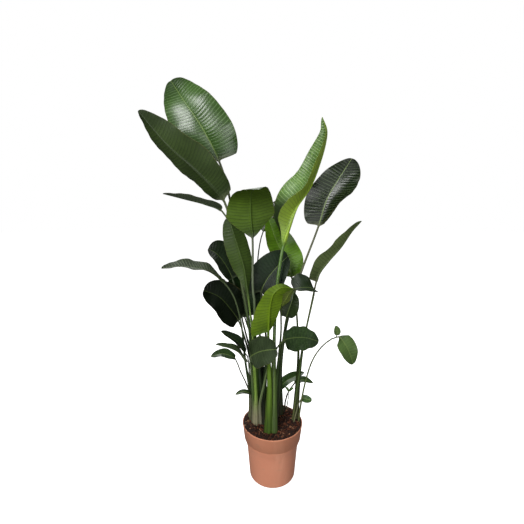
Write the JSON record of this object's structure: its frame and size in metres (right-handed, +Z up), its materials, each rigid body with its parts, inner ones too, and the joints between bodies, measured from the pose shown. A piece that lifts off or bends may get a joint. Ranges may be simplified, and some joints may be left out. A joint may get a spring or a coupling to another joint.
{
  "type": "potted bird of paradise plant",
  "caption": "Tall foliage plant: broad paddle leaves on long upright stalks rise in clumps from a round tapered nursery pot filled with potting bark.",
  "frame": {"origin": "the pot's axis on its flat underside", "axes": "+Z up along the pot's axis; -Y is the plant's front, as the picture shows it, with +X to the right"},
  "size_m": [0.7583, 0.4312, 1.5432],
  "materials": {
    "pot_plastic": "matte terracotta-coloured moulded plastic",
    "potting_bark": "loose dark bark chips and fibres",
    "leaf_mature": "waxy green blade, glossy above and matt below, ribbed across",
    "leaf_young": "thin yellow-green blade that lets light through",
    "leaf_dark": "glossy blackish-green blade"
  },
  "bodies": {
    "root": {"pot": "pot_plastic", "potting_bark": "potting_bark", "leaf_top_left": "leaf_mature", "leaf_far_left": "leaf_mature", "leaf_edge_left": "leaf_mature", "leaf_front_centre": "leaf_mature", "leaf_right_upswept": "leaf_mature", "leaf_left_folded": "leaf_mature", "leaf_low_back": "leaf_mature", "leaf_low_back_narrow": "leaf_mature", "leaf_tiny_round": "leaf_mature", "leaf_tiny_left": "leaf_mature", "leaf_far_right": "leaf_mature", "leaf_low_left": "leaf_mature", "leaf_tall_folded": "leaf_young", "leaf_front_arched": "leaf_young", "leaf_front_olive": "leaf_young", "leaf_behind_folded": "leaf_young", "leaf_seedling": "leaf_young", "leaf_right_glossy": "leaf_dark", "leaf_right_small": "leaf_dark", "leaf_dark_behind": "leaf_dark", "leaf_dark_left": "leaf_dark", "leaf_left_level": "leaf_dark", "leaf_black_left": "leaf_dark", "leaf_dark_upright": "leaf_dark", "leaf_narrow_left": "leaf_dark", "leaf_dark_centre": "leaf_dark", "leaf_dark_oval": "leaf_dark", "leaf_front_low": "leaf_dark", "leaf_thin_left": "leaf_dark", "leaf_low_right": "leaf_dark"}
  },
  "joints": []
}
